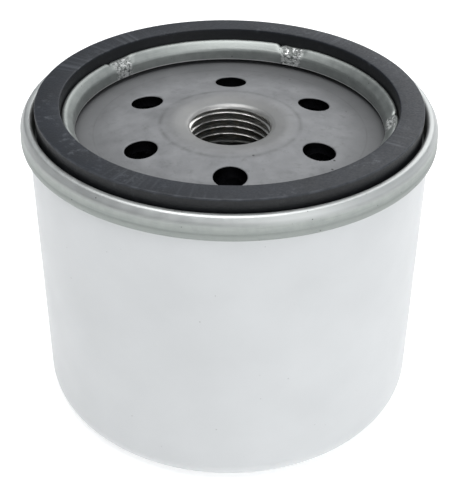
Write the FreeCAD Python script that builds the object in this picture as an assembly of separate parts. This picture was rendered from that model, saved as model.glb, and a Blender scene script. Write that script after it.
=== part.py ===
import FreeCAD, Part
import math
import os

# Spin-on oil filter. Millimetres, +Z up. The origin is the middle of the closed end, and the
# threaded mounting face with its gasket is at the top.

V = FreeCAD.Vector
ORIGIN = V(0, 0, 0)
UP = V(0, 0, 1)

# ---- can and double seam ----
total_height = 62.5         # closed end to the gasket's sealing face
can_outer_r = 36.95
can_sheet = 0.4
can_corner_r = 5.5          # outside radius of the drawn bottom corner
can_panel_depth = 0.8       # shallow panel pressed into the middle of the closed end
can_panel_bend_r = 1.2
seam_height = 4.4
seam_fold_gap = 0.04        # between one layer of the seam and the next
seam_panel_gap = 0.07       # between the can's hook and the lid's outside
body_hook_length = 2.2      # the can's edge, folded down inside the seam
cover_hook_length = 2.8     # the lid's edge, folded up behind the body hook

# ---- seaming lid ----
lid_sheet = 0.4
lid_bend_r = 0.6
gasket_stand = 2.0          # sealing face above the top of the seam
bead_drop = 2.35            # sealing face down to the crest of the lid's inner bead
bead_crest_r = 0.55
bead_flank_angle = 50.0
bead_width = 1.8            # from the channel's wall in to the skirt that hangs inside the bead
bead_skirt_bend_r = 0.9
bead_skirt_gap = 0.9        # daylight between the skirt's cut edge and the base plate

# ---- gasket ----
gasket_width = 4.5
gasket_height = 6.2
gasket_top_edge_r = 0.25
gasket_foot_edge_r = 0.6
gasket_side_gap = 0.1       # between the gasket and the bead's outer wall
gasket_rim_gap = 0.61       # between the gasket and the wall of the seam

# ---- base plate ----
plate_sheet = 2.2
plate_rim_gap = 0.91        # between the plate's rim and the wall of the seam
plate_fold_inset = 3.5      # from the lid's skirt in to where the flat flange turns up into the cone
plate_fold_bend_r = 8.0
crown_width = 2.8           # from the thread's root out to the highest ring of the plate
crown_rise = 1.7            # above the flange
crown_bend_r = 4.0
lead_in_angle = 9.5
lead_in_r = 1.3
inlet_hole_r = 3.0
inlet_edge_r = 0.25         # rolled upper edge that the punch leaves
inlet_pitch_r = 18.5
inlet_count = 6
thread_major_r = 8.0
thread_pitch = 1.5
thread_depth = 0.6          # a sheet collar is tapped to about 70 per cent of the full depth
thread_flank_angle = 30.0
collar_wall = 2.0           # steel behind the thread's root
collar_length = 8.0         # from the crown's top to the collar's end
collar_chamfer = 0.4
collar_root_r = 1.2

# ---- drainback valve ----
valve_collar_gap = 0.05
valve_hub_wall = 2.5
valve_seat_gap = 0.1        # between the closed flap and the base plate, and under the hub
valve_hub_drop = 1.2        # hub's foot below the end of the threaded collar
valve_split_gap = 0.1       # between the hub and the flap that bends from it
valve_web = 1.2
valve_overlap = 2.7         # flap past the outer side of the inlet holes
valve_lip_height = 1.4
valve_root_drop = 2.5       # flap's inner end below its lip
valve_ridge_height = 0.45
valve_ridge_width = 0.8
valve_ridge_count = 4
valve_travel = 1.2

# ---- filter element ----
cap_sheet = 0.4
element_side_gap = 4.55     # oil space between the element and the can
cap_rim_height = 3.2
cap_bend_r = 0.7
cap_neck_inset = 0.55       # neck's middle line outside the valve hub's bore
cap_neck_height = 2.0
element_drop = 1.5          # how far the element can be pushed down onto its spring
element_bottom = 12.0       # underside of the lower end cap's flat ring
potting_height = 1.0
potting_gap = 0.05
tube_boss_gap = 0.5         # from the bend of a cap's neck or well out to the tube
tube_sheet = 0.4
tube_hole_r = 2.0
tube_hole_rows = 4
tube_holes_per_row = 8
tube_end_land = 5.5         # plain tube above and below the perforated rows
paper_thickness = 0.6
paper_tube_gap = 0.5        # tube to the inner folds
paper_rim_gap = 0.5         # outer fold to the end cap's rim
pleat_count = 44
pleat_outer_half = 0.75     # half the width of an outer fold
pleat_inner_half = 0.5
clip_sheet = 0.3
clip_depth = 5.0
clip_gap = 0.12
clip_end_land = 1.0

# ---- bypass valve ----
boss_depth = 1.5            # well in the middle of the lower end cap
port_r = 5.5
seal_width = 2.7
seal_height = 1.0
seal_port_gap = 0.2
poppet_side_gap = 1.0       # poppet to the cage's wall
poppet_plate = 1.2
poppet_stem_r = 1.8
poppet_edge_r = 0.3
poppet_seat_gap = 0.1
poppet_travel = 2.5
stem_guide_gap = 0.05
stem_stand = 1.0            # closed stem above the cage
cage_sheet = 0.5
cage_wall_r = 9.0           # inside radius of the cage's wall
cage_height = 12.0
cage_foot = 1.15            # flange beyond the middle line of the cage's wall
cage_foot_gap = 0.1
cage_bend_r = 0.7
cage_window_count = 4
cage_window_width = 6.0
cage_window_land = 2.5
bypass_wire_r = 0.45
bypass_coil_r = 5.2
bypass_turns = 4.5

# ---- support spring ----
support_wire_r = 0.9
support_centring_gap = 0.35 # between the coils and the well that centres them
support_turns = 3.0
spring_seat_gap = 0.02

# ---- heights and radii that follow ----
seam_top = total_height - gasket_stand
seam_bottom = seam_top - seam_height
channel_floor = total_height - gasket_height
flange_top = channel_floor - lid_sheet
crown_top = flange_top + crown_rise
collar_end = crown_top - collar_length
can_inner_r = can_outer_r - can_sheet
chuck_wall_inner_r = can_inner_r - seam_fold_gap - lid_sheet
seam_outer_r = can_outer_r + can_sheet + 2 * lid_sheet + 2 * seam_fold_gap + seam_panel_gap
gasket_outer_r = chuck_wall_inner_r - gasket_rim_gap
gasket_inner_r = gasket_outer_r - gasket_width
bead_wall_r = gasket_inner_r - gasket_side_gap - lid_sheet / 2
bead_skirt_r = bead_wall_r - bead_width
plate_outer_r = chuck_wall_inner_r - plate_rim_gap
plate_fold_r = bead_skirt_r - plate_fold_inset
thread_minor_r = thread_major_r - thread_depth
crown_r = thread_major_r + crown_width
collar_outer_r = thread_major_r + collar_wall
valve_flap_r = inlet_pitch_r + inlet_hole_r + valve_overlap
hub_inner_r = collar_outer_r + valve_collar_gap
hub_outer_r = hub_inner_r + valve_hub_wall
hub_foot = collar_end - valve_hub_drop
element_top = hub_foot - valve_seat_gap
cap_outer_r = can_inner_r - element_side_gap
cap_rim_inner_r = cap_outer_r - cap_sheet
cap_neck_r = hub_inner_r + cap_neck_inset
poppet_r = cage_wall_r - poppet_side_gap
cage_foot_r = cage_wall_r + cage_sheet / 2 + cage_foot
boss_r = cage_foot_r + cage_foot_gap + cap_bend_r
tube_inner_r = max(boss_r + cap_sheet, cap_neck_r + cap_sheet / 2) + cap_bend_r + tube_boss_gap
tube_outer_r = tube_inner_r + tube_sheet
paper_outer_r = cap_rim_inner_r - paper_rim_gap - paper_thickness / 2
paper_inner_r = tube_outer_r + paper_tube_gap + paper_thickness / 2
element_floor = element_bottom + cap_sheet
element_ceiling = element_top - cap_sheet
paper_bottom = element_floor + potting_height
paper_top = element_ceiling - potting_height
boss_floor = element_floor - boss_depth
seal_top = boss_floor + seal_height
poppet_bottom = seal_top + poppet_seat_gap
cage_top = boss_floor + cage_height
support_coil_r = boss_r + cap_sheet + support_centring_gap + support_wire_r
can_panel_r = support_coil_r - support_wire_r - 2 * can_panel_bend_r


def rounded_outline(corners):
    """A closed flat wire in the XZ plane through corners (x, z, radius), each rounded."""
    count = len(corners)
    starts = []
    ends = []
    middles = []
    for index in range(count):
        before = corners[index - 1]
        here = corners[index]
        after = corners[(index + 1) % count]
        point = V(here[0], 0, here[1])
        back = V(before[0], 0, before[1]).sub(point).normalize()
        ahead = V(after[0], 0, after[1]).sub(point).normalize()
        half_angle = back.getAngle(ahead) / 2
        if here[2] > 0 and half_angle < math.pi / 2 - 1e-6:
            reach = here[2] / math.tan(half_angle)
            bisector = back.add(ahead).normalize()
            to_centre = here[2] / math.sin(half_angle)
            starts.append(point.add(back * reach))
            ends.append(point.add(ahead * reach))
            middles.append(point.add(bisector * (to_centre - here[2])))
        else:
            starts.append(point)
            ends.append(point)
            middles.append(None)
    edges = []
    for index in range(count):
        if middles[index] is not None:
            edges.append(Part.Arc(starts[index], middles[index], ends[index]).toShape())
        following = starts[(index + 1) % count]
        if ends[index].distanceToPoint(following) > 1e-6:
            edges.append(Part.LineSegment(ends[index], following).toShape())
    return Part.Wire(edges)


def sheet_corners(path, thickness):
    """Corners of a bent strip of sheet whose middle line is path, of (x, z, bend radius) points."""
    half = thickness / 2
    left = []
    right = []
    last = len(path) - 1
    for index, (x, z, bend_r) in enumerate(path):
        before = path[max(index - 1, 0)]
        after = path[min(index + 1, last)]
        into = V(x - before[0], 0, z - before[1])
        out = V(after[0] - x, 0, after[1] - z)
        if index == 0:
            into = out
        if index == last:
            out = into
        into = into.normalize()
        out = out.normalize()
        normal_in = V(-into.z, 0, into.x)
        normal_out = V(-out.z, 0, out.x)
        shift = normal_in.add(normal_out) * (half / (1 + normal_in.dot(normal_out)))
        turn = into.x * out.z - into.z * out.x
        bend = math.copysign(half, turn) if bend_r > 0 else 0
        left.append((x + shift.x, z + shift.z, max(bend_r - bend, 0)))
        right.append((x - shift.x, z - shift.z, max(bend_r + bend, 0)))
    return left + right[::-1]


def turned(corners):
    """The solid that a closed outline sweeps about the Z axis."""
    return Part.Face(rounded_outline(corners)).revolve(ORIGIN, UP, 360)


def pressed(path, thickness):
    """A round pressing of even sheet, from its middle line on one side of the axis."""
    return turned(sheet_corners(path, thickness))


def ring(inner_r, outer_r, bottom, top, edge_r=0):
    """A plain ring, its four edges rounded if edge_r is given."""
    return turned([
        (inner_r, bottom, edge_r),
        (outer_r, bottom, edge_r),
        (outer_r, top, edge_r),
        (inner_r, top, edge_r),
    ])


def around(shape, count, first=0):
    """Copies of a shape, evenly turned about the Z axis."""
    copies = []
    for index in range(count):
        copy = shape.copy()
        copy.rotate(ORIGIN, UP, first + 360 * index / count)
        copies.append(copy)
    return copies


def coil(wire_r, coil_r, bottom, top, turns):
    """Round wire wound about the Z axis between two heights."""
    rise = top - bottom - 2 * wire_r
    helix = Part.makeHelix(rise / turns, rise, coil_r)
    helix.translate(V(0, 0, bottom + wire_r))
    start = helix.Edges[0]
    heading = start.tangentAt(start.FirstParameter)
    section = Part.Wire(Part.makeCircle(wire_r, start.valueAt(start.FirstParameter), heading))
    return Part.Wire(helix).makePipeShell([section], True, True)


def make_outer_can():
    middle_r = can_outer_r - can_sheet / 2
    floor = can_sheet / 2
    fold_top = seam_top - lid_sheet - seam_fold_gap - can_sheet / 2
    cover_hook = lid_sheet + 2 * seam_fold_gap
    hook_r = middle_r + can_sheet + cover_hook
    fold_r = (hook_r - middle_r) / 2 * 0.98
    return pressed([
        (0, floor + can_panel_depth, 0),
        (can_panel_r, floor + can_panel_depth, can_panel_bend_r),
        (can_panel_r + can_panel_depth, floor, can_panel_bend_r),
        (middle_r, floor, can_corner_r - can_sheet / 2),
        (middle_r, fold_top, fold_r),
        (hook_r, fold_top, fold_r),
        (hook_r, fold_top - body_hook_length, 0),
    ], can_sheet)


def make_seaming_lid():
    chuck_wall_r = chuck_wall_inner_r + lid_sheet / 2
    panel_r = seam_outer_r - lid_sheet / 2
    hook_r = can_outer_r + seam_fold_gap + lid_sheet / 2
    slope = math.radians(bead_flank_angle)
    crest_centre = total_height - bead_drop - lid_sheet / 2 - bead_crest_r
    bead_corner = crest_centre + bead_crest_r * (1 + math.sin(slope)) / math.cos(slope)
    skirt_corner = bead_corner - (bead_wall_r - bead_skirt_r) * math.tan(slope)
    floor = channel_floor - lid_sheet / 2
    roll_top = seam_top - lid_sheet / 2
    roll_bottom = seam_bottom + lid_sheet / 2
    roll_r = (panel_r - chuck_wall_r) / 2 * 0.98
    curl_r = (panel_r - hook_r) / 2 * 0.98
    return pressed([
        (bead_skirt_r, flange_top + bead_skirt_gap, 0),
        (bead_skirt_r, skirt_corner, bead_skirt_bend_r),
        (bead_wall_r, bead_corner, bead_crest_r),
        (bead_wall_r, floor, lid_bend_r),
        (chuck_wall_r, floor, lid_bend_r),
        (chuck_wall_r, roll_top, roll_r),
        (panel_r, roll_top, roll_r),
        (panel_r, roll_bottom, curl_r),
        (hook_r, roll_bottom, curl_r),
        (hook_r, seam_bottom + cover_hook_length, 0),
    ], lid_sheet)


def make_seam_compound():
    """The sealing compound squeezed into the lid's curl, under the can's hook."""
    hook_end = seam_top - lid_sheet - seam_fold_gap - can_sheet / 2 - body_hook_length
    inner_r = can_outer_r + lid_sheet + 2 * seam_fold_gap
    outer_r = seam_outer_r - lid_sheet - seam_fold_gap
    curl_inside = seam_bottom + lid_sheet + seam_fold_gap
    round_r = (outer_r - inner_r) / 2 * 0.98
    return turned([
        (inner_r, curl_inside, round_r),
        (outer_r, curl_inside, round_r),
        (outer_r, hook_end - seam_fold_gap, 0),
        (inner_r, hook_end - seam_fold_gap, 0),
    ])


def make_sealing_gasket():
    return turned([
        (gasket_inner_r, channel_floor, gasket_foot_edge_r),
        (gasket_outer_r, channel_floor, gasket_foot_edge_r),
        (gasket_outer_r, total_height, gasket_top_edge_r),
        (gasket_inner_r, total_height, gasket_top_edge_r),
    ])


def thread_groove():
    """The 60 degree groove of the thread, in whole turns that reach past both ends of the collar."""
    spread = math.tan(math.radians(thread_flank_angle))
    clear_r = thread_minor_r - thread_pitch / 4
    root_half = thread_pitch / 16
    mouth_half = root_half + (thread_major_r - clear_r) * spread
    turns = math.ceil(collar_length / thread_pitch) + 1
    helix = Part.makeHelix(thread_pitch, turns * thread_pitch, thread_minor_r)
    profile = Part.makePolygon([
        V(clear_r, 0, -mouth_half),
        V(thread_major_r, 0, -root_half),
        V(thread_major_r, 0, root_half),
        V(clear_r, 0, mouth_half),
        V(clear_r, 0, -mouth_half),
    ])
    groove = Part.Wire(helix).makePipeShell([profile], True, True)
    groove.translate(V(0, 0, collar_end - thread_pitch))
    return groove


def make_base_plate():
    """The steel plate with its threaded collar and the ring of oil inlet holes."""
    lead_in_corner = crown_top - (crown_r - thread_minor_r) * math.tan(math.radians(lead_in_angle))
    plate = turned([
        (plate_outer_r, flange_top, 0.3),
        (plate_fold_r, flange_top, plate_fold_bend_r),
        (crown_r, crown_top, crown_bend_r),
        (thread_minor_r, lead_in_corner, lead_in_r),
        (thread_minor_r, collar_end + collar_chamfer, 0),
        (thread_minor_r + collar_chamfer, collar_end, 0),
        (collar_outer_r, collar_end, collar_chamfer),
        (collar_outer_r, crown_top - plate_sheet, collar_root_r),
        (plate_fold_r, flange_top - plate_sheet, plate_fold_bend_r),
        (plate_outer_r, flange_top - plate_sheet, 0.3),
    ])
    drill = Part.makeCylinder(inlet_hole_r, 2 * collar_length, V(inlet_pitch_r, 0, collar_end))
    drills = around(drill, inlet_count, 30)
    plate = plate.cut(drills)
    plate = plate.makeFillet(inlet_edge_r, upper_hole_edges(plate, drills))
    return plate.cut(thread_groove())


def upper_hole_edges(plate, drills):
    """The edges where the drilled holes meet the plate's upper face."""
    upper = plate_underside(inlet_pitch_r) + 0.75 * plate_sheet
    found = []
    for edge in plate.Edges:
        middle = edge.BoundBox.Center
        for drill in drills:
            away = drill.BoundBox.Center.sub(middle)
            if middle.z > upper and math.hypot(away.x, away.y) < inlet_hole_r:
                found.append(edge)
    return found


def plate_underside(radius):
    """Height of the base plate's lower face at a radius on its cone."""
    share = (plate_fold_r - radius) / (plate_fold_r - crown_r)
    return flange_top - plate_sheet + crown_rise * min(max(share, 0), 1)


def make_drainback_valve_hub():
    return turned([
        (hub_inner_r, hub_foot, 0.2),
        (hub_outer_r, hub_foot, 0.4),
        (hub_outer_r, plate_underside(hub_outer_r) - valve_seat_gap, 0.3),
        (hub_inner_r, plate_underside(hub_outer_r) - valve_seat_gap - collar_root_r, 0.2),
    ])


def make_drainback_valve_flap():
    """The bending disc of the valve, with its lip up against the base plate."""
    root_r = hub_outer_r + valve_split_gap
    lip_top = plate_underside(valve_flap_r) - valve_seat_gap
    lip_inner_r = valve_flap_r - valve_lip_height
    web_foot = lip_top - valve_root_drop
    web_end = lip_top - valve_web
    slope = (web_end - web_foot) / (lip_inner_r - root_r)
    flap = turned([
        (root_r, web_foot - valve_web, 0.3),
        (lip_inner_r, web_end - valve_web, 1.0),
        (valve_flap_r, web_end - valve_web, 0.5),
        (valve_flap_r, lip_top, 0.4),
        (lip_inner_r, lip_top, 0.3),
        (lip_inner_r, web_end, 0.5),
        (root_r, web_foot, 0.3),
    ])
    ridges = []
    for index in range(valve_ridge_count):
        radius = root_r + (lip_inner_r - root_r) * (index + 0.5) / valve_ridge_count
        height = web_foot + slope * (radius - root_r)
        ridges.append(ring(radius, radius + valve_ridge_width, height - 0.3,
                           height + valve_ridge_height, 0.2))
    return flap.fuse(ridges).removeSplitter()


def make_upper_end_cap():
    face = element_top - cap_sheet / 2
    rim_r = cap_outer_r - cap_sheet / 2
    return pressed([
        (cap_neck_r, face - cap_neck_height, 0),
        (cap_neck_r, face, cap_bend_r),
        (rim_r, face, cap_bend_r),
        (rim_r, element_top - cap_rim_height, 0),
    ], cap_sheet)


def make_lower_end_cap():
    face = element_bottom + cap_sheet / 2
    rim_r = cap_outer_r - cap_sheet / 2
    wall_r = boss_r + cap_sheet / 2
    return pressed([
        (port_r, face - boss_depth, 0),
        (wall_r, face - boss_depth, cap_bend_r),
        (wall_r, face, cap_bend_r),
        (rim_r, face, cap_bend_r),
        (rim_r, element_bottom + cap_rim_height, 0),
    ], cap_sheet)


def potting(bottom):
    """A ring of set adhesive in an end cap, from the tube to the cap's rim."""
    return ring(tube_outer_r + potting_gap, cap_rim_inner_r - cap_bend_r, bottom,
                bottom + potting_height)


def make_centre_tube():
    tube = ring(tube_inner_r, tube_outer_r, element_floor, element_ceiling)
    span = element_ceiling - element_floor - 2 * tube_end_land
    drills = []
    for row in range(tube_hole_rows):
        height = element_floor + tube_end_land + span * row / (tube_hole_rows - 1)
        drill = Part.makeCylinder(tube_hole_r, 2 * tube_outer_r, V(0, 0, height), V(1, 0, 0))
        stagger = 180 / tube_holes_per_row * (row % 2)
        drills += around(drill, tube_holes_per_row, stagger)
    return tube.cut(drills)


def pleat_loop(outer_r, outer_half, inner_r, inner_half):
    """A closed star of square-ended pleats, from the places of its outer and inner folds."""
    step = 360 / pleat_count
    points = []
    for index in range(pleat_count):
        for radius, half, turn in ((outer_r, outer_half, 0), (inner_r, inner_half, 0.5)):
            for side in (-half, half):
                point = V(radius, side, paper_bottom)
                swing = FreeCAD.Rotation(UP, (index + turn) * step)
                points.append(swing.multVec(point))
    return Part.makePolygon(points + points[:1])


def make_filter_paper():
    half = paper_thickness / 2
    outside = pleat_loop(paper_outer_r + half, pleat_outer_half + half,
                         paper_inner_r + half, pleat_inner_half - half)
    inside = pleat_loop(paper_outer_r - half, pleat_outer_half - half,
                        paper_inner_r - half, pleat_inner_half + half)
    section = Part.Face(outside).cut(Part.Face(inside))
    return section.extrude(V(0, 0, paper_top - paper_bottom)).Solids[0]


def make_pleat_clip():
    """The strip of steel that joins the paper's two ends, folded over one pleat."""
    wrap = paper_thickness / 2 + clip_gap + clip_sheet / 2
    side = pleat_outer_half + wrap
    back = paper_outer_r + wrap
    corners = sheet_corners([
        (back - clip_depth, -side, 0),
        (back, -side, clip_sheet),
        (back, side, clip_sheet),
        (back - clip_depth, side, 0),
    ], clip_sheet)
    clip = Part.Face(rounded_outline(corners))
    clip.rotate(ORIGIN, V(1, 0, 0), 90)
    clip.translate(V(0, 0, paper_bottom + clip_end_land))
    return clip.extrude(V(0, 0, paper_top - paper_bottom - 2 * clip_end_land))


def make_bypass_valve_seal():
    inner_r = port_r + seal_port_gap
    return ring(inner_r, inner_r + seal_width, boss_floor, seal_top, 0.2)


def make_bypass_valve_poppet():
    stem_top = cage_top + stem_stand
    return turned([
        (0, poppet_bottom, 0),
        (poppet_r, poppet_bottom, poppet_edge_r),
        (poppet_r, poppet_bottom + poppet_plate, poppet_edge_r),
        (poppet_stem_r, poppet_bottom + poppet_plate, poppet_edge_r),
        (poppet_stem_r, stem_top, poppet_edge_r),
        (0, stem_top, 0),
    ])


def make_bypass_valve_cage():
    """The windowed cup that holds the bypass spring and guides the poppet's stem."""
    wall_r = cage_wall_r + cage_sheet / 2
    roof = cage_top - cage_sheet / 2
    foot = boss_floor + cage_sheet / 2
    cage = pressed([
        (poppet_stem_r + stem_guide_gap, roof, 0),
        (wall_r, roof, cage_bend_r),
        (wall_r, foot, cage_bend_r),
        (cage_foot_r, foot, 0),
    ], cage_sheet)
    window_height = cage_height - 2 * cage_window_land
    window = Part.makeBox(2 * cage_wall_r, cage_window_width, window_height,
                          V(poppet_stem_r + cage_bend_r, -cage_window_width / 2,
                            boss_floor + cage_window_land))
    return cage.cut(around(window, cage_window_count, 45))


def make_bypass_valve_spring():
    return coil(bypass_wire_r, bypass_coil_r,
                poppet_bottom + poppet_plate + spring_seat_gap,
                cage_top - cage_sheet - spring_seat_gap, bypass_turns)


def make_element_support_spring():
    return coil(support_wire_r, support_coil_r, can_sheet + spring_seat_gap,
                element_bottom - spring_seat_gap, support_turns)


nodes = {
    "outer_can": make_outer_can(),
    "seaming_lid": make_seaming_lid(),
    "seam_compound": make_seam_compound(),
    "sealing_gasket": make_sealing_gasket(),
    "base_plate": make_base_plate(),
    "drainback_valve_hub": make_drainback_valve_hub(),
    "drainback_valve_flap": make_drainback_valve_flap(),
    "upper_end_cap": make_upper_end_cap(),
    "lower_end_cap": make_lower_end_cap(),
    "upper_potting": potting(paper_top),
    "lower_potting": potting(element_floor),
    "centre_tube": make_centre_tube(),
    "filter_paper": make_filter_paper(),
    "pleat_clip": make_pleat_clip(),
    "bypass_valve_seal": make_bypass_valve_seal(),
    "bypass_valve_poppet": make_bypass_valve_poppet(),
    "bypass_valve_cage": make_bypass_valve_cage(),
    "bypass_valve_spring": make_bypass_valve_spring(),
    "element_support_spring": make_element_support_spring(),
}

os.makedirs("parts", exist_ok=True)
for node, shape in nodes.items():
    shape.exportStep("parts/" + node + ".step")
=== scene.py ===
import math

import bmesh
import bpy
from mathutils import Matrix, Vector


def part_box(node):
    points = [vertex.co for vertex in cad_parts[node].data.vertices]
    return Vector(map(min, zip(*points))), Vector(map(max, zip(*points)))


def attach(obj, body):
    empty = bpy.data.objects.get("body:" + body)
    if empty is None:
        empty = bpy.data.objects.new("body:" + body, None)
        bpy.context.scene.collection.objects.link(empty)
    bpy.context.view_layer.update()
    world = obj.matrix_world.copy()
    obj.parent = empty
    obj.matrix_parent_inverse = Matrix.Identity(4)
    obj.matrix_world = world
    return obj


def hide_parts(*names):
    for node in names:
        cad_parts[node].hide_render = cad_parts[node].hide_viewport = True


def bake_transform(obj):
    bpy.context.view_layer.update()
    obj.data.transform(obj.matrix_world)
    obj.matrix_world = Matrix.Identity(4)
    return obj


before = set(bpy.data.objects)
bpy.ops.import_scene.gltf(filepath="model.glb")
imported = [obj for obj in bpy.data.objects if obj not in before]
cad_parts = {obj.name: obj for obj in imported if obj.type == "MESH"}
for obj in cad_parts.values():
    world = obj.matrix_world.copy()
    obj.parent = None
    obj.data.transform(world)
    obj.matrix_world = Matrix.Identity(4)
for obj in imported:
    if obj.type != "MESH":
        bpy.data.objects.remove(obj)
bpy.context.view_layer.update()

# Spin-on oil filter. Sizes are named in millimetres; "mm" turns them to Blender's metres.
# Heights and radii come from the frame's nodes. Gauges, bends and wear are set here.

mm = 0.001
UP = Vector((0, 0, 1))

# ---- sizes read from the frame, in millimetres ----


def node_span(node):
    """Outer radius, lowest and highest point of a round node, in millimetres."""
    low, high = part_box(node)
    return high.x / mm, low.z / mm, high.z / mm


seam_r, _, seam_top = node_span("seaming_lid")
gasket_r, channel_floor, total_height = node_span("sealing_gasket")
crown_top = node_span("base_plate")[2]
support_r, support_bottom, support_top = node_span("element_support_spring")
bypass_r, bypass_bottom, bypass_top = node_span("bypass_valve_spring")

# ---- sheet and rubber gauges, as the frame has them ----
sheet = 0.4
can_r = 36.95
can_corner_r = 5.5
panel_depth = 0.8
panel_bend_r = 1.2
panel_r = 9.55
body_hook = 2.2
seam_height = 4.4
cover_hook = 2.8
seam_gap = 0.04
bead_drop = 2.35            # from the gasket's face down to the bead's crest
bead_crest_r = 0.55
bead_crest_inset = 1.3      # from the gasket in to the middle of the crest
bead_flank = 50.0
bead_width = 1.8
bead_skirt_bend_r = 0.9
skirt_gap = 0.9
lid_bend_r = 0.6
roll_top_r = 0.42
roll_top_width = 0.95
roll_shoulder_drop = 1.25
roll_shoulder_r = 1.3
roll_waist = 0.06           # how far the roll is narrower above its step
step_top = 2.9              # the step's top and foot, below the seam's top
step_foot = 3.2
step_bend_r = 0.5
bend_share = 0.98           # of half a gap, so that two bends don't meet
gasket_width = 4.5
gasket_side_gap = 0.1
gasket_face_edge_r = 0.25
gasket_foot_edge_r = 0.6
support_wire_r = 0.9
support_turns = 3.0
bypass_wire_r = 0.45
bypass_turns = 4.5
bead_outer_r = gasket_r - gasket_width - gasket_side_gap
plate_top = channel_floor - sheet
fold_inset = 3.5            # from the bead's skirt in to the plate's fold
plate_fold_r = bead_outer_r - sheet / 2 - bead_width - fold_inset
crown_r = 10.8
crown_foot_r = 13.0
thread_root_r = 8.0

# ---- wear and making marks ----
stake_count = 5
stake_start = 65.0          # degrees from +X, seen from above
stake_bruise = 3.2          # degrees either side where the plating is broken
stake_clear = 5.0           # degrees either side where it is whole again
rubbed_r = 9.2              # the crown is rubbed inside this radius
shaded_from_r = 20.0        # painted shade darkens the plate between these, under the lid
shaded_to_r = 29.0
can_wave = 0.05             # how far the drawn wall strays from round
rounds = 288                # sides of a large turned piece
lid_rounds = 480            # the lid has more, for its stake marks
wall_cuts = 24              # rings across the can's wall, for its waves

# ---- modelling helpers ----


def put_down():
    """Leave edit mode with nothing selected."""
    if bpy.context.mode != "OBJECT":
        bpy.ops.object.mode_set(mode="OBJECT")
    bpy.ops.object.select_all(action="DESELECT")


def take_up(piece):
    """Make one piece the selected and active object."""
    put_down()
    piece.select_set(True)
    bpy.context.view_layer.objects.active = piece


def name_it(name):
    """Name the object just added, with its place moved into its mesh, and open it for editing."""
    piece = bpy.context.active_object
    piece.name = name
    piece.data.name = name
    bpy.ops.object.transform_apply(location=True, rotation=True, scale=True)
    bpy.ops.object.mode_set(mode="EDIT")
    return piece


def select_points(piece, wanted):
    """In edit mode, select only the points whose place in millimetres passes the test."""
    bpy.ops.mesh.select_mode(type="VERT")
    bpy.ops.mesh.select_all(action="DESELECT")
    mesh = bmesh.from_edit_mesh(piece.data)
    for point in mesh.verts:
        point.select = wanted(point.co / mm)
    mesh.select_flush(True)
    bmesh.update_edit_mesh(piece.data)


def near(place, reach):
    """A test for points within reach of a place, in millimetres."""
    spot = Vector(place)
    return lambda point: (point - spot).length < reach


def round_corner(piece, path, index, radius, segments):
    """Bevel one point of a drawn path to an arc of the radius."""
    here, before, after = (Vector(path[i][:2]) for i in (index, index - 1, index + 1))
    turn = (here - before).angle(after - here)
    select_points(piece, near((here.x, 0, here.y), 0.02))
    bpy.ops.mesh.bevel(offset=radius * math.tan(turn / 2) * mm, segments=segments, affect="VERTICES")


def draw_path(name, path):
    """A line in the XZ plane through (radius, height, bend radius, segments) points."""
    put_down()
    first = path[0]
    bpy.ops.mesh.primitive_plane_add(size=mm, location=(first[0] * mm, 0, first[1] * mm))
    piece = name_it(name)
    bpy.ops.mesh.merge(type="CENTER")
    for before, after in zip(path, path[1:]):
        step = ((after[0] - before[0]) * mm, 0, (after[1] - before[1]) * mm)
        bpy.ops.mesh.extrude_region_move(TRANSFORM_OT_translate={"value": step})
    for index, corner in enumerate(path):
        if corner[2] > 0:
            round_corner(piece, path, index, corner[2], corner[3])
    return piece


def draw_ring_section(name, inner_r, outer_r, bottom, top):
    """The four-sided section of a ring, standing in the XZ plane, as an open outline."""
    put_down()
    middle = ((inner_r + outer_r) / 2 * mm, 0, (bottom + top) / 2 * mm)
    bpy.ops.mesh.primitive_plane_add(size=mm, location=middle, rotation=(math.pi / 2, 0, 0))
    bpy.context.active_object.scale = (outer_r - inner_r, top - bottom, 1)
    piece = name_it(name)
    bpy.ops.mesh.delete(type="ONLY_FACE")
    return piece


def spin_round(piece, sides=rounds):
    """Spin the drawn line once about the Z axis and close the seam, with its faces outwards."""
    bpy.ops.mesh.select_all(action="SELECT")
    bpy.ops.mesh.spin(steps=sides, angle=2 * math.pi, center=(0, 0, 0), axis=UP)
    bpy.ops.mesh.select_all(action="SELECT")
    bpy.ops.mesh.remove_doubles(threshold=0.0005 * mm)
    bpy.ops.mesh.normals_make_consistent(inside=False)
    put_down()
    return piece


def modifier(piece, kind, **settings):
    """Add one modifier, set it and apply it."""
    take_up(piece)
    step = piece.modifiers.new(kind.title(), kind)
    for name, value in settings.items():
        setattr(step, name, value)
    bpy.ops.object.modifier_apply(modifier=step.name)


def thicken(piece, gauge):
    """Give a middle line its even wall."""
    modifier(piece, "SOLIDIFY", thickness=gauge * mm, offset=0, use_even_offset=True,
             use_quality_normals=True)


def smooth(piece, angle=40):
    take_up(piece)
    bpy.ops.object.shade_smooth_by_angle(angle=math.radians(angle))


def push(piece, place, core, reach, move, falloff="SMOOTH"):
    """In edit mode, move the points round a place, and their neighbours less and less."""
    select_points(piece, near(place, core))
    bpy.ops.transform.translate(value=Vector(move) * mm, use_proportional_edit=True,
                                proportional_edit_falloff=falloff, proportional_size=reach * mm)


def on_circle(radius, degrees, height):
    """The point at a radius, an angle from +X and a height."""
    turn = math.radians(degrees)
    return Vector((radius * math.cos(turn), radius * math.sin(turn), height))


# ---- materials: helpers ----


def linear(hex_colour):
    """An sRGB hex colour as linear RGBA."""
    channels = [int(hex_colour[start:start + 2], 16) / 255 for start in (1, 3, 5)]
    return [c / 12.92 if c <= 0.04045 else ((c + 0.055) / 1.055) ** 2.4 for c in channels] + [1]


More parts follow.
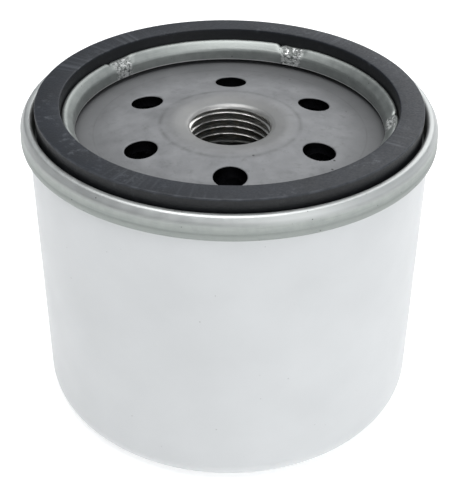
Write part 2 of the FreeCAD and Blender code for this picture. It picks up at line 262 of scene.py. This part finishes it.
def add(material, kind, *inputs, **named):
    """Add a node. Its inputs come by place or by name, as values or as nodes or sockets to link from,
    and its own settings come by their lower-case names."""
    tree = material.node_tree
    node = tree.nodes.new("ShaderNode" + kind)
    pairs = list(enumerate(inputs))
    for name, value in named.items():
        if name.islower():
            setattr(node, name, value)
        else:
            pairs.append((name.replace("_", " "), value))
    for key, value in pairs:
        if isinstance(value, bpy.types.Node):
            value = value.outputs[0]
        if isinstance(value, bpy.types.NodeSocket):
            tree.links.new(value, node.inputs[key])
        else:
            node.inputs[key].default_value = value
    return node


def link(material, source, shader, socket):
    """Link a node's first output to the shader."""
    material.node_tree.links.new(source.outputs[0], shader.inputs[socket])


def start_material(name, **shader_settings):
    """A new material, its shader with plain values set, and object coordinates in millimetres."""
    material = bpy.data.materials.new(name)
    material.use_nodes = True
    shader = material.node_tree.nodes["Principled BSDF"]
    for socket, value in shader_settings.items():
        shader.inputs[socket.replace("_", " ")].default_value = value
    place = add(material, "TexCoord").outputs["Object"]
    place = add(material, "VectorMath", place, (1 / mm,) * 3, operation="MULTIPLY")
    return material, shader, place


def round_place(material, place):
    """Heading about the Z axis, radius and height of each point, in millimetres."""
    flat = add(material, "VectorMath", place, (1, 1, 0), operation="MULTIPLY")
    heading = add(material, "VectorMath", flat, operation="NORMALIZE")
    radius = add(material, "VectorMath", flat, operation="LENGTH").outputs["Value"]
    height = add(material, "SeparateXYZ", place).outputs["Z"]
    return heading, radius, height


def lines_round(material, place, width, length):
    """Streaks that run round the axis, each about a width high and a length long."""
    heading, radius, height = round_place(material, place)
    across = add(material, "Math", radius, height, operation="ADD")
    across = add(material, "Math", across, 1 / width, operation="MULTIPLY")
    along = add(material, "VectorMath", heading, (can_r / length,) * 3, operation="MULTIPLY")
    across = add(material, "CombineXYZ", 0.0, 0.0, across)
    vector = add(material, "VectorMath", along, across, operation="ADD")
    return add(material, "TexNoise", Vector=vector, Scale=1.0, Detail=2.0)


def lines_outward(material, place, width):
    """Streaks that run out from the axis, each about a width wide at the gasket."""
    heading = round_place(material, place)[0]
    vector = add(material, "VectorMath", heading, (gasket_r / width,) * 3, operation="MULTIPLY")
    return add(material, "TexNoise", Vector=vector, Scale=1.0, Detail=1.5)


def specks(material, place, spacing, size, share):
    """Round specks of a size, in about a share of the cells of a spacing."""
    cells = add(material, "TexVoronoi", Vector=place, Scale=1 / spacing)
    dot = add(material, "MapRange", cells, 0.5 * size / spacing, size / spacing, 1.0, 0.0)
    pick = add(material, "SeparateXYZ", cells.outputs["Color"])
    chosen = add(material, "Math", pick, share, operation="LESS_THAN")
    return add(material, "Math", dot, chosen, operation="MULTIPLY")


def stake_places(material, place):
    """1 at the stake marks' headings, falling to 0 beside them."""
    point = add(material, "SeparateXYZ", place)
    turn = add(material, "Math", point.outputs["Y"], point.outputs["X"], operation="ARCTAN2")
    turn = add(material, "Math", turn, math.radians(stake_start), operation="SUBTRACT")
    off = add(material, "Math", turn, math.pi / stake_count, operation="PINGPONG")
    return add(material, "MapRange", off, math.radians(stake_bruise), math.radians(stake_clear), 1.0, 0.0)


# ---- materials ----


def make_white_enamel():
    """Stoved white enamel, sprayed on drawn steel: an even satin white with a faint orange peel,
    specks of dust baked in, and grey rub marks where it was handled."""
    material, shader, place = start_material("stoved_white_enamel", IOR=1.5)
    drift = add(material, "TexNoise", Vector=place, Scale=1 / 14.0, Detail=3.0)
    tone = add(material, "MapRange", drift, 0.3, 0.7)
    colour = add(material, "MixRGB", tone, linear("#CDCFD0"), linear("#D3D5D6"))
    dust = specks(material, place, 2.6, 0.16, 0.25)
    colour = add(material, "MixRGB", dust, colour, linear("#A9ABAB"))
    rub = add(material, "TexNoise", Vector=place, Scale=1 / 1.6, Detail=6.0, Roughness=0.7)
    rub = add(material, "MapRange", rub, 0.66, 0.76, 0.0, 0.35)
    handled = add(material, "TexNoise", Vector=place, Scale=1 / 11.0, Detail=1.0)
    handled = add(material, "MapRange", handled, 0.55, 0.7)
    rub = add(material, "Math", rub, handled, operation="MULTIPLY")
    colour = add(material, "MixRGB", rub, colour, linear("#A5A6A4"))
    flow = add(material, "TexNoise", Vector=place, Scale=1 / 6.0, Detail=3.0)
    gloss = add(material, "MapRange", flow, 0.3, 0.7, 0.32, 0.42)
    peel = add(material, "TexNoise", Vector=place, Scale=1 / 0.9, Detail=1.0)
    peel = add(material, "Bump", Distance=0.006 * mm, Height=peel)
    link(material, colour, shader, "Base Color")
    link(material, gloss, shader, "Roughness")
    link(material, peel, shader, "Normal")
    return material


def make_zinc_plate():
    """Bright zinc plate on pressed and rolled sheet: soft cloudy grey metal with fine streaks round
    the rim, a painted highlight along the top of the seam's roll and painted shade below it, a little
    paler on the polished bead, and broken and bright where the bead was staked."""
    material, shader, place = start_material("zinc_plated_sheet", Metallic=1.0)
    _, radius, height = round_place(material, place)
    patches = add(material, "TexNoise", Vector=place, Scale=1 / 1.8, Detail=6.0, Roughness=0.65)
    tone = add(material, "MapRange", patches, 0.3, 0.7)
    colour = add(material, "MixRGB", tone, linear("#969B98"), linear("#AEB2AF"))
    dull = add(material, "MapRange", lines_round(material, place, 0.3, 7.0), 0.5, 0.72, 0.0, 0.3)
    colour = add(material, "MixRGB", dull, colour, linear("#888D8A"))

    on_rim = add(material, "MapRange", radius, bead_outer_r + 1.0, bead_outer_r + 2.0)
    # Painted shade: the lower side of the seam's roll, outside the bead, is darkened.
    lower = add(material, "MapRange", height, seam_top - 3.0, seam_top - 1.8, 0.55, 0.0)
    lower = add(material, "Math", lower, on_rim, operation="MULTIPLY")
    colour = add(material, "MixRGB", lower, colour, linear("#858A87"))
    # Painted highlight: the top of the seam's roll is paled. The bead inside the gasket is paled a little
    # for its polish.
    rolled = add(material, "MapRange", height, seam_top - 1.8, seam_top - 0.8, 0.0, 0.8)
    rolled = add(material, "Math", rolled, on_rim, operation="MULTIPLY")
    on_bead = add(material, "MapRange", radius, bead_outer_r, bead_outer_r + 0.8, 0.1, 0.0)
    bead_polish_and_roll_highlight = add(material, "Math", on_bead, rolled, operation="MAXIMUM")
    colour = add(material, "MixRGB", bead_polish_and_roll_highlight, colour, linear("#DCDEDD"))

    skirt_foot = plate_top + skirt_gap
    cut_edge = add(material, "MapRange", height, skirt_foot + 0.12, skirt_foot + 0.2, 1.0, 0.0)
    inside = add(material, "MapRange", radius, bead_outer_r - 0.6, bead_outer_r - 0.5, 1.0, 0.0)
    cut_edge = add(material, "Math", cut_edge, inside, operation="MULTIPLY")
    colour = add(material, "MixRGB", cut_edge, colour, linear("#E4E5E4"))
    struck = add(material, "Math", stake_places(material, place), inside, operation="MULTIPLY")
    broken = add(material, "TexNoise", Vector=place, Scale=1 / 0.7, Detail=4.0, Roughness=0.7)
    broken = add(material, "MapRange", broken, 0.42, 0.58)
    bruise = add(material, "MixRGB", broken, linear("#6F7371"), linear("#F4F5F4"))
    bare = add(material, "Math", struck, 0.75, operation="MULTIPLY")
    colour = add(material, "MixRGB", bare, colour, bruise)
    grit = specks(material, place, 1.1, 0.14, 0.3)
    colour = add(material, "MixRGB", grit, colour, linear("#5B5D5C"))

    gloss = add(material, "MapRange", patches, 0.3, 0.7, 0.44, 0.56)
    grain = add(material, "TexNoise", Vector=place, Scale=1 / 0.25, Detail=2.0)
    lift = add(material, "Math", struck, 6.0, operation="MULTIPLY")
    relief = add(material, "Math", broken, lift, grain, operation="MULTIPLY_ADD")
    relief = add(material, "Bump", Distance=0.02 * mm, Height=relief)
    link(material, colour, shader, "Base Color")
    link(material, gloss, shader, "Roughness")
    link(material, relief, shader, "Normal")
    return material


def make_nitrile_rubber():
    """Black nitrile rubber, moulded and dusted with talc: dark blue-grey with a low sheen. The face
    has pale lines from the mould, scuffs and a worn corner that also carries a painted edge highlight,
    and the sides, cleaner of talc, are darker, partly as painted shade.
    The grain is drawn coarser than the real one, so that it shows."""
    material, shader, place = start_material("moulded_nitrile_rubber", IOR=1.52)
    _, radius, height = round_place(material, place)
    drift = add(material, "TexNoise", Vector=place, Scale=1 / 5.0, Detail=3.0)
    tone = add(material, "MapRange", drift, 0.3, 0.7)
    colour = add(material, "MixRGB", tone, linear("#0F141C"), linear("#151B25"))

    lines = add(material, "MapRange", lines_outward(material, place, 0.9), 0.5, 0.74, 0.0, 0.28)
    some = add(material, "TexNoise", Vector=place, Scale=1 / 13.0, Detail=1.0)
    some = add(material, "MapRange", some, 0.46, 0.58)
    on_face = add(material, "MapRange", height, total_height - 0.3, total_height - 0.1, 0.08, 0.7)
    some = add(material, "Math", some, on_face, operation="MULTIPLY")
    lines = add(material, "Math", lines, some, operation="MULTIPLY")
    scuffs = add(material, "TexNoise", Vector=place, Scale=1 / 1.6, Detail=6.0, Roughness=0.75)
    scuffs = add(material, "MapRange", scuffs, 0.52, 0.72, 0.0, 0.4)
    there = add(material, "TexNoise", Vector=place, Scale=1 / 8.0, Detail=1.0)
    there = add(material, "MapRange", there, 0.48, 0.62)
    scuffs = add(material, "Math", scuffs, there, operation="MULTIPLY")
    # The outer top corner is paled in patches: partly wear, partly a painted highlight along the edge.
    outer = add(material, "MapRange", radius, gasket_r - 0.32, gasket_r - 0.12)
    upper = add(material, "MapRange", height, total_height - 0.35, total_height - 0.1)
    corner = add(material, "Math", outer, upper, operation="MULTIPLY")
    patchy = add(material, "TexNoise", Vector=place, Scale=1 / 2.5, Detail=3.0)
    patchy = add(material, "MapRange", patchy, 0.4, 0.65, 0.05, 0.22)
    corner = add(material, "Math", corner, patchy, operation="MULTIPLY")
    marks = add(material, "Math", lines, scuffs, operation="MAXIMUM")
    marks = add(material, "Math", marks, corner, operation="MAXIMUM")
    colour = add(material, "MixRGB", marks, colour, linear("#7C8087"))
    # Painted shade: the sides below the face are darkened, along with their cleaner, talc-free rubber.
    talc_free_sides_and_painted_shade = add(material, "MapRange", height, total_height - 0.5, total_height - 0.2, 0.75, 0.0)
    colour = add(material, "MixRGB", talc_free_sides_and_painted_shade, colour, linear("#08090B"))

    grain = add(material, "TexNoise", Vector=place, Scale=1 / 0.35, Detail=3.0)
    gloss = add(material, "MapRange", grain, 0.3, 0.7, 0.42, 0.58)
    relief = add(material, "Bump", Distance=0.02 * mm, Height=grain)
    link(material, colour, shader, "Base Color")
    link(material, gloss, shader, "Roughness")
    link(material, relief, shader, "Normal")
    return material


def make_plate_steel():
    """Mild steel plate, pierced, phosphated and tumbled: matte cloudy grey with smudges and specks.
    The thread and the lead-in are cut after it, so they are bright, and the crown is rubbed.
    Painted shade darkens the upright walls outside the crown, the fold, the crown's foot and the
    plate under the lid."""
    material, shader, place = start_material("phosphated_steel_plate", IOR=1.5)
    _, radius, height = round_place(material, place)
    clouds = add(material, "TexNoise", Vector=place, Scale=1 / 4.5, Detail=5.0, Roughness=0.6)
    tone = add(material, "MapRange", clouds, 0.3, 0.7)
    dull = add(material, "MixRGB", tone, linear("#7D7E80"), linear("#949597"))
    smudges = add(material, "TexNoise", Vector=place, Scale=1 / 1.8, Detail=5.0, Roughness=0.7)
    smudges = add(material, "MapRange", smudges, 0.54, 0.7, 0.0, 0.5)
    dull = add(material, "MixRGB", smudges, dull, linear("#6D6E6F"))
    grit = specks(material, place, 3.6, 0.3, 0.3)
    dull = add(material, "MixRGB", grit, dull, linear("#1E1E1E"))
    chips = specks(material, place, 7.0, 0.3, 0.08)
    dull = add(material, "MixRGB", chips, dull, linear("#E8E8E6"))

    # Painted shade: a thin dark line along the plate's fold and a wider dark ring in the valley at the
    # crown's foot, broken up by noise.
    broken = add(material, "TexNoise", Vector=place, Scale=1 / 3.0, Detail=3.0)
    broken = add(material, "MapRange", broken, 0.35, 0.65, 0.15, 0.6)
    for ring_r, ring_width in ((plate_fold_r, 0.22), (crown_foot_r, 0.7)):
        off = add(material, "Math", radius, ring_r, operation="SUBTRACT")
        off = add(material, "Math", off, operation="ABSOLUTE")
        line = add(material, "MapRange", off, 0.0, ring_width, 1.0, 0.0)
        line = add(material, "Math", line, broken, operation="MULTIPLY")
        dull = add(material, "MixRGB", line, dull, linear("#626363"))
    # Painted shade on the plate under the lid's bead.
    shaded = add(material, "MapRange", radius, shaded_from_r, shaded_to_r)
    dull = add(material, "MixRGB", shaded, dull, linear("#656667"))

    # Painted shade: upright faces outside the crown, the walls of the holes among them, are painted dark
    # and made shiny.
    normal = add(material, "SeparateXYZ", add(material, "TexCoord").outputs["Normal"])
    level = add(material, "Math", normal.outputs["Z"], operation="ABSOLUTE")
    upright = add(material, "MapRange", level, 0.25, 0.6, 1.0, 0.0)
    outside = add(material, "MapRange", radius, crown_r + 0.2, crown_r + 1.2)
    punched_walls_painted_dark = add(material, "Math", upright, outside, operation="MULTIPLY")
    dull = add(material, "MixRGB", punched_walls_painted_dark, dull, linear("#4A4A4C"))
    rubbed = add(material, "MapRange", radius, rubbed_r, crown_foot_r, 1.0, 0.0)
    uneven = add(material, "TexNoise", Vector=place, Scale=1 / 4.0, Detail=3.0)
    uneven = add(material, "MapRange", uneven, 0.3, 0.7, 0.6, 0.95)
    rubbed = add(material, "Math", rubbed, uneven, operation="MULTIPLY")
    colour = add(material, "MixRGB", rubbed, dull, linear("#929291"))
    turned = lines_round(material, place, 0.12, 6.0)
    cut = add(material, "MapRange", radius, thread_root_r, thread_root_r + 0.25, 1.0, 0.0)
    below_mouth = add(material, "MapRange", height, crown_top - 1.3, crown_top - 0.6, 1.0, 0.2)
    cut = add(material, "Math", cut, below_mouth, operation="MULTIPLY")
    bright = add(material, "MapRange", turned, 0.35, 0.65)
    bright = add(material, "MixRGB", bright, linear("#C4C3C0"), linear("#EAE9E6"))
    colour = add(material, "MixRGB", cut, colour, bright)

    shiny = add(material, "Math", cut, punched_walls_painted_dark, operation="MAXIMUM")
    gloss = add(material, "MapRange", clouds, 0.3, 0.7, 0.58, 0.68)
    gloss = add(material, "Mix", rubbed, A=gloss, B=0.46)
    gloss = add(material, "Mix", shiny, A=gloss, B=0.26)
    bare = add(material, "Mix", rubbed, A=0.35, B=0.7)
    bare = add(material, "Mix", shiny, A=bare, B=1.0)
    grain = add(material, "TexNoise", Vector=place, Scale=1 / 0.3, Detail=3.0)
    relief = add(material, "Math", grain, turned, operation="ADD")
    relief = add(material, "Bump", Distance=0.012 * mm, Height=relief)
    link(material, colour, shader, "Base Color")
    link(material, gloss, shader, "Roughness")
    link(material, bare, shader, "Metallic")
    link(material, relief, shader, "Normal")
    return material


def make_valve_rubber():
    """Black nitrile rubber from a polished mould, wet with assembly oil: smooth with a soft shine.
    It is drawn paler than the real one, as little light reaches it."""
    material, shader, place = start_material("polished_mould_rubber", IOR=1.52)
    drift = add(material, "TexNoise", Vector=place, Scale=1 / 3.0, Detail=3.0)
    tone = add(material, "MapRange", drift, 0.3, 0.7)
    colour = add(material, "MixRGB", tone, linear("#3C3C41"), linear("#54555B"))
    oil = add(material, "TexNoise", Vector=place, Scale=1 / 2.0, Detail=3.0)
    gloss = add(material, "MapRange", oil, 0.3, 0.7, 0.22, 0.34)
    relief = add(material, "TexNoise", Vector=place, Scale=1 / 0.5, Detail=2.0)
    relief = add(material, "Bump", Distance=0.01 * mm, Height=relief)
    link(material, colour, shader, "Base Color")
    link(material, gloss, shader, "Roughness")
    link(material, relief, shader, "Normal")
    return material


def make_bare_steel(name, dark, pale, gloss, grain_size):
    """Bare or plated low-carbon steel strip as it leaves the press: grey metal with a fine grain
    drawn round the axis and duller, slightly stained patches."""
    material, shader, place = start_material(name, Metallic=1.0)
    streaks = lines_round(material, place, grain_size, 5.0)
    tone = add(material, "MapRange", streaks, 0.3, 0.7)
    colour = add(material, "MixRGB", tone, linear(dark), linear(pale))
    stains = add(material, "TexNoise", Vector=place, Scale=1 / 4.0, Detail=4.0)
    stains = add(material, "MapRange", stains, 0.45, 0.7, 0.0, 0.5)
    colour = add(material, "MixRGB", stains, colour, linear(dark))
    gloss = add(material, "MapRange", streaks, 0.3, 0.7, gloss, gloss + 0.18)
    relief = add(material, "Bump", Distance=0.01 * mm, Height=streaks)
    link(material, colour, shader, "Base Color")
    link(material, gloss, shader, "Roughness")
    link(material, relief, shader, "Normal")
    return material


def make_filter_paper():
    """Resin-treated cellulose filter paper: pale straw, matte, with felted fibres and darker flecks."""
    material, shader, place = start_material("resin_treated_paper", Roughness=0.9, IOR=1.45)
    fibres = add(material, "TexNoise", Vector=place, Scale=1 / 0.4, Detail=5.0, Distortion=2.5)
    tone = add(material, "MapRange", fibres, 0.3, 0.7)
    colour = add(material, "MixRGB", tone, linear("#CDB47A"), linear("#E6D5A6"))
    flecks = specks(material, place, 1.6, 0.2, 0.2)
    colour = add(material, "MixRGB", flecks, colour, linear("#8C7340"))
    relief = add(material, "Bump", Distance=0.05 * mm, Height=fibres)
    link(material, colour, shader, "Base Color")
    link(material, relief, shader, "Normal")
    return material


def make_poured_resin(name, dark, pale, gloss, lump):
    """A poured or moulded plastic: even colour with slow drifts of shade and soft lumps."""
    material, shader, place = start_material(name, IOR=1.5)
    drift = add(material, "TexNoise", Vector=place, Scale=1 / lump, Detail=3.0)
    tone = add(material, "MapRange", drift, 0.3, 0.7)
    colour = add(material, "MixRGB", tone, linear(dark), linear(pale))
    gloss = add(material, "MapRange", drift, 0.3, 0.7, gloss, gloss + 0.15)
    lumps = add(material, "TexNoise", Vector=place, Scale=4 / lump, Detail=2.0)
    lumps = add(material, "Bump", Distance=0.02 * mm, Height=lumps)
    link(material, colour, shader, "Base Color")
    link(material, gloss, shader, "Roughness")
    link(material, lumps, shader, "Normal")
    return material


def make_floor_paint():
    """White studio sweep that glows a little, so that the filter's shadow on it is faint."""
    material, shader, place = start_material("white_studio_sweep", Roughness=0.9,
                                             Emission_Color=(1, 1, 1, 1), Emission_Strength=0.43)
    drift = add(material, "TexNoise", Vector=place, Scale=1 / 40.0, Detail=3.0)
    tone = add(material, "MapRange", drift, 0.3, 0.7)
    colour = add(material, "MixRGB", tone, linear("#F4F4F4"), linear("#F8F8F8"))
    link(material, colour, shader, "Base Color")
    return material


enamel = make_white_enamel()
zinc = make_zinc_plate()
nitrile = make_nitrile_rubber()
plate_steel = make_plate_steel()
valve_rubber = make_valve_rubber()
tinplate = make_bare_steel("tinplate_pressing", "#8E908E", "#C4C6C4", 0.25, 0.3)
tube_steel = make_bare_steel("perforated_steel_strip", "#77797A", "#A2A4A5", 0.35, 0.4)
clip_steel = make_bare_steel("folded_steel_strip", "#85878A", "#B0B2B4", 0.3, 0.3)
cage_steel = make_bare_steel("deep_drawn_steel", "#7C7E7F", "#B3B5B6", 0.28, 0.25)
spring_wire = make_bare_steel("hard_drawn_spring_wire", "#4E4F51", "#8A8B8D", 0.25, 0.2)
paper = make_filter_paper()
potting_resin = make_poured_resin("plastisol_potting", "#6C7472", "#8B938F", 0.45, 4.0)
nylon = make_poured_resin("moulded_black_nylon", "#17181A", "#232427", 0.38, 3.0)

# ---- pieces ----


def wear_on(piece, slot, material, *nodes):
    """Give a finished piece its material, and let it stand for its nodes, which are hidden. The slot is
    not used.
    """
    piece.data.materials.clear()
    piece.data.materials.append(material)
    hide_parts(*nodes)


def make_can_shell():
    """Deep-drawn can: dished closed end, round corner, straight wall and the hook in the seam."""
    middle_r = can_r - sheet / 2
    floor = sheet / 2
    fold_top = seam_top - 2 * sheet - seam_gap - sheet / 2
    hook_r = middle_r + 2 * sheet
    hook_bend_r = (hook_r - middle_r) / 2 * bend_share
    piece = draw_path("can_shell", [
        (0, floor + panel_depth, 0, 0),
        (panel_r, floor + panel_depth, panel_bend_r, 5),
        (panel_r + panel_depth, floor, panel_bend_r, 5),
        (middle_r, floor, can_corner_r - sheet / 2, 14),
        (middle_r, fold_top, hook_bend_r, 5),
        (hook_r, fold_top, hook_bend_r, 5),
        (hook_r, fold_top - body_hook, 0, 0),
    ])
    wall_foot = can_corner_r + sheet
    wall_head = seam_top - seam_height - 3
    select_points(piece, lambda p: p.x > middle_r - 0.1 and wall_foot - 1 < p.z < fold_top - 0.9)
    bpy.ops.mesh.subdivide(number_cuts=wall_cuts)
    spin_round(piece)
    piece.vertex_groups.new(name="wall")
    take_up(piece)
    bpy.ops.object.mode_set(mode="EDIT")
    select_points(piece, lambda p: wall_foot < p.z < wall_head and p.xy.length > middle_r - 1)
    bpy.ops.object.vertex_group_assign()
    put_down()
    waves = bpy.data.textures.new("drawn_wall", "CLOUDS")
    waves.noise_scale = 16 * mm
    modifier(piece, "DISPLACE", texture=waves, strength=can_wave * mm, mid_level=1.0,
             vertex_group="wall", texture_coords="LOCAL")
    thicken(piece, sheet)
    smooth(piece, 50)
    return piece


def stake(piece, degrees):
    """One stake mark: the punch flattens the bead's crest, bites its outer side beside the flat,
    and throws up a burr and three lips. Places are degrees round the bead from the mark's middle."""
    crest_top = total_height - bead_drop
    crest_r = gasket_r - gasket_width - bead_crest_inset
    for offset in (-3.0, -1.0, 1.0, 3.0):
        spot = on_circle(crest_r + 0.1, degrees + offset, crest_top - 0.1)
        push(piece, spot, 0.5, 1.6, on_circle(0.1, degrees, -0.2))
    bite = on_circle(crest_r + 0.5, degrees + 5.4, crest_top - 0.3)
    push(piece, bite, 0.42, 0.95, on_circle(-0.3, degrees, -0.5), "SHARP")
    burr = on_circle(crest_r + 0.35, degrees + 3.6, crest_top - 0.2)
    push(piece, burr, 0.3, 0.6, on_circle(0.05, degrees, 0.42), "SHARP")
    for offset, lift in ((-2.4, 0.2), (-0.4, 0.26), (1.6, 0.16)):
        lip = on_circle(crest_r - 0.6, degrees + offset, crest_top - 0.75)
        push(piece, lip, 0.3, 0.75, on_circle(-lift / 2, degrees, lift), "SHARP")


def make_lid_pressing():
    """Seaming lid: skirt and bead inside the gasket, the channel, and the rolled double seam."""
    chuck_r = can_r - 1.5 * sheet - seam_gap
    outer_r = seam_r - sheet / 2
    hook_r = can_r + seam_gap + sheet / 2
    wall_r = bead_outer_r - sheet / 2
    skirt_r = wall_r - bead_width
    slope = math.radians(bead_flank)
    crest_centre = total_height - bead_drop - sheet / 2 - bead_crest_r
    bead_corner = crest_centre + bead_crest_r * (1 + math.sin(slope)) / math.cos(slope)
    skirt_corner = bead_corner - bead_width * math.tan(slope)
    floor = channel_floor - sheet / 2
    flange_top = channel_floor - sheet
    roll_top = seam_top - sheet / 2
    seam_bottom = seam_top - seam_height
    roll_bottom = seam_bottom + sheet / 2
    waist_r = outer_r - roll_waist
    curl_r = (outer_r - hook_r) / 2 * bend_share
    piece = draw_path("lid_pressing", [
        (skirt_r, flange_top + skirt_gap, 0, 0),
        (skirt_r, skirt_corner, bead_skirt_bend_r, 7),
        (wall_r, bead_corner, bead_crest_r, 10),
        (wall_r, floor, lid_bend_r, 4),
        (chuck_r, floor, lid_bend_r, 4),
        (chuck_r, roll_top, roll_top_r, 6),
        (chuck_r + roll_top_width, roll_top, roll_top_r, 5),
        (waist_r, roll_top - roll_shoulder_drop, roll_shoulder_r, 6),
        (waist_r, seam_top - step_top, step_bend_r, 2),
        (outer_r, seam_top - step_foot, step_bend_r, 2),
        (outer_r, roll_bottom, curl_r, 4),
        (hook_r, roll_bottom, curl_r, 4),
        (hook_r, seam_bottom + cover_hook, 0, 0),
    ])
    select_points(piece, lambda p: p.x < wall_r + 0.1 and p.z > channel_floor)
    bpy.ops.mesh.subdivide(number_cuts=1)
    spin_round(piece, lid_rounds)
    take_up(piece)
    bpy.ops.object.mode_set(mode="EDIT")
    for index in range(stake_count):
        stake(piece, stake_start + 360 * index / stake_count)
    put_down()
    thicken(piece, sheet)
    smooth(piece, 50)
    return piece


def make_gasket_ring():
    """Square-cut gasket: sharp moulded edges at the face and rounder ones in the channel."""
    inner_r = gasket_r - gasket_width
    piece = draw_ring_section("gasket_ring", inner_r, gasket_r, channel_floor, total_height)
    select_points(piece, lambda p: p.z > total_height - 0.1)
    bpy.ops.mesh.bevel(offset=gasket_face_edge_r * mm, segments=4, affect="VERTICES")
    select_points(piece, lambda p: p.z < channel_floor + 0.1)
    bpy.ops.mesh.bevel(offset=gasket_foot_edge_r * mm, segments=5, affect="VERTICES")
    spin_round(piece)
    smooth(piece, 50)
    return piece


def make_spring(name, wire_r, coil_r, bottom, top, turns):
    """Round wire wound about the Z axis, its two cut ends closed."""
    put_down()
    rise = top - bottom - 2 * wire_r
    bpy.ops.mesh.primitive_circle_add(vertices=16, radius=wire_r * mm, rotation=(math.pi / 2, 0, 0),
                                      location=(coil_r * mm, 0, (bottom + wire_r) * mm))
    piece = name_it(name)
    put_down()
    modifier(piece, "SCREW", angle=2 * math.pi * turns, screw_offset=rise * mm, iterations=1,
             steps=int(60 * turns), render_steps=int(60 * turns), use_normal_calculate=True)
    take_up(piece)
    bpy.ops.object.mode_set(mode="EDIT")
    bpy.ops.mesh.select_all(action="SELECT")
    bpy.ops.mesh.fill_holes(sides=0)
    bpy.ops.mesh.normals_make_consistent(inside=False)
    put_down()
    smooth(piece)
    return piece


can_shell = make_can_shell()
wear_on(can_shell, "can_paint", enamel, "outer_can")
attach(can_shell, "can")

lid_pressing = make_lid_pressing()
wear_on(lid_pressing, "plated_lid", zinc, "seaming_lid")
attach(lid_pressing, "can")

gasket_ring = make_gasket_ring()
wear_on(gasket_ring, "gasket_rubber", nitrile, "sealing_gasket")
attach(gasket_ring, "can")

support_spring = make_spring("support_spring", support_wire_r, support_r - support_wire_r,
                             support_bottom, support_top, support_turns)
wear_on(support_spring, "spring_wire", spring_wire, "element_support_spring")
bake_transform(support_spring)

valve_spring = make_spring("valve_spring", bypass_wire_r, bypass_r - bypass_wire_r,
                           bypass_bottom, bypass_top, bypass_turns)
wear_on(valve_spring, "spring_wire", spring_wire, "bypass_valve_spring")
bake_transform(valve_spring)

# ---- the frame's own nodes, in their real finishes ----

for finish, nodes in (
    (plate_steel, ("base_plate",)),
    (valve_rubber, ("drainback_valve_hub", "drainback_valve_flap", "bypass_valve_seal")),
    (tinplate, ("upper_end_cap", "lower_end_cap")),
    (potting_resin, ("upper_potting", "lower_potting", "seam_compound")),
    (tube_steel, ("centre_tube",)),
    (paper, ("filter_paper",)),
    (clip_steel, ("pleat_clip",)),
    (cage_steel, ("bypass_valve_cage",)),
    (nylon, ("bypass_valve_poppet",)),
):
    for node in nodes:
        for material_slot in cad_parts[node].material_slots:
            material_slot.material = finish

# ---- stage, light and camera ----

put_down()
bpy.ops.mesh.primitive_plane_add(size=3.0, location=(0, 0, -0.05 * mm))
floor = bpy.context.active_object
floor.name = "studio_floor"
floor.data.materials.append(make_floor_paint())

world = bpy.data.worlds.new("studio")
world.use_nodes = True
world.node_tree.nodes["Background"].inputs["Color"].default_value = linear("#F0F4F8")
side = add(world, "SeparateXYZ", add(world, "TexCoord").outputs["Generated"])
side = add(world, "MapRange", side, -1.0, 1.0, 0.23, 0.55)
link(world, side, world.node_tree.nodes["Background"], "Strength")
bpy.context.scene.world = world
bpy.context.scene.view_settings.view_transform = "Standard"


def softbox(name, place, size, power):
    """A square soft light at a place in metres, aimed at the top of the filter."""
    lamp = bpy.data.lights.new(name, "AREA")
    lamp.shape = "SQUARE"
    lamp.size = size
    lamp.energy = power
    holder = bpy.data.objects.new(name, lamp)
    bpy.context.collection.objects.link(holder)
    aim = Vector((0, 0, total_height * mm)) - Vector(place)
    turn = aim.to_track_quat("-Z", "Y").to_matrix().to_4x4()
    holder.matrix_world = Matrix.Translation(place) @ turn


softbox("overhead_softbox", (-0.05, -0.12, 0.80), 0.7, 4.6)
softbox("right_softbox", (0.45, -0.60, 0.35), 0.4, 0.8)
softbox("back_softbox", (0.35, 0.75, 0.60), 0.7, 2.2)

camera_data = bpy.data.cameras.new("camera")
camera_data.lens = 82.47
camera_data.sensor_width = 36
camera_data.shift_x = -0.076
camera_data.shift_y = 0.1
camera = bpy.data.objects.new("camera", camera_data)
bpy.context.collection.objects.link(camera)
camera.location = (0, -0.19034, 0.15789)
camera.rotation_euler = [math.radians(angle) for angle in (53.3762, -1.3762, -1.2011)]
bpy.context.scene.camera = camera
